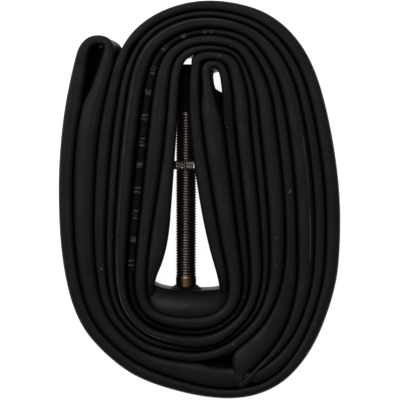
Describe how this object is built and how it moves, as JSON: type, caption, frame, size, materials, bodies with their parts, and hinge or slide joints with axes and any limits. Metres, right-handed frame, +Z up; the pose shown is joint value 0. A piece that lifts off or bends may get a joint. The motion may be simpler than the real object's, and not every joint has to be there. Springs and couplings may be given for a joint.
{
  "type": "bicycle inner tube",
  "caption": "Flattened rubber inner tube wound into an oval hank around its long threaded Presta valve, as it comes out of its box.",
  "frame": {"origin": "centre of the hank's footprint, on the floor plane under its strips' lower edges", "axes": "+Z up across the flattened strips, +Y along the valve from its rubber foot to its dust cap, +X to the right of the valve seen from above"},
  "size_m": [0.0799, 0.1147, 0.027],
  "materials": {
    "tube_rubber": "satin black butyl rubber with traces of talc",
    "foot_rubber": "matt black moulded rubber",
    "seal_rubber": "smooth black rubber",
    "stem_brass": "dull threaded brass",
    "core_brass": "turned brass",
    "plated_brass": "nickel-plated knurled brass",
    "cap_plastic": "black moulded plastic"
  },
  "bodies": {
    "hank": {"tube": "tube_rubber", "valve_foot": "foot_rubber"},
    "valve": {"valve_stem": "stem_brass", "core_body": "core_brass", "core_gasket": "seal_rubber"},
    "ring": {"lock_ring": "plated_brass"},
    "cap": {"dust_cap": "cap_plastic"},
    "nut": {"thumb_nut": "core_brass"},
    "pin": {"core_pin": "core_brass", "pin_seal": "seal_rubber", "seal_cup": "core_brass"}
  },
  "joints": [
    {"name": "valve_tilt", "type": "hinge", "parent": "hank", "child": "valve", "pos_m": [-0.0041, -0.0283, 0.0135], "axis": [1, 0, 0], "range_deg": [-6, 45], "stiffness_Nm_per_rad": 0.15, "deforming": ["valve_foot"]},
    {"name": "ring_travel", "type": "slide", "parent": "valve", "child": "ring", "axis": [0, 1, 0], "range_m": [-0.0335, 0.003]},
    {"name": "cap_turn", "type": "hinge", "parent": "valve", "child": "cap", "pos_m": [-0.0041, 0.03, 0.0135], "axis": [0, 1, 0], "continuous": true},
    {"name": "nut_turn", "type": "hinge", "parent": "valve", "child": "nut", "pos_m": [-0.0041, 0.0346, 0.0135], "axis": [0, 1, 0], "range_deg": [0, 1440]},
    {"name": "pin_drop", "type": "slide", "parent": "valve", "child": "pin", "axis": [0, -1, 0], "range_m": [0, 0.0016]}
  ],
  "couplings": [
    {"joint": "pin_drop", "follows": "nut_turn", "m_per_rad": 0.000063662}
  ]
}
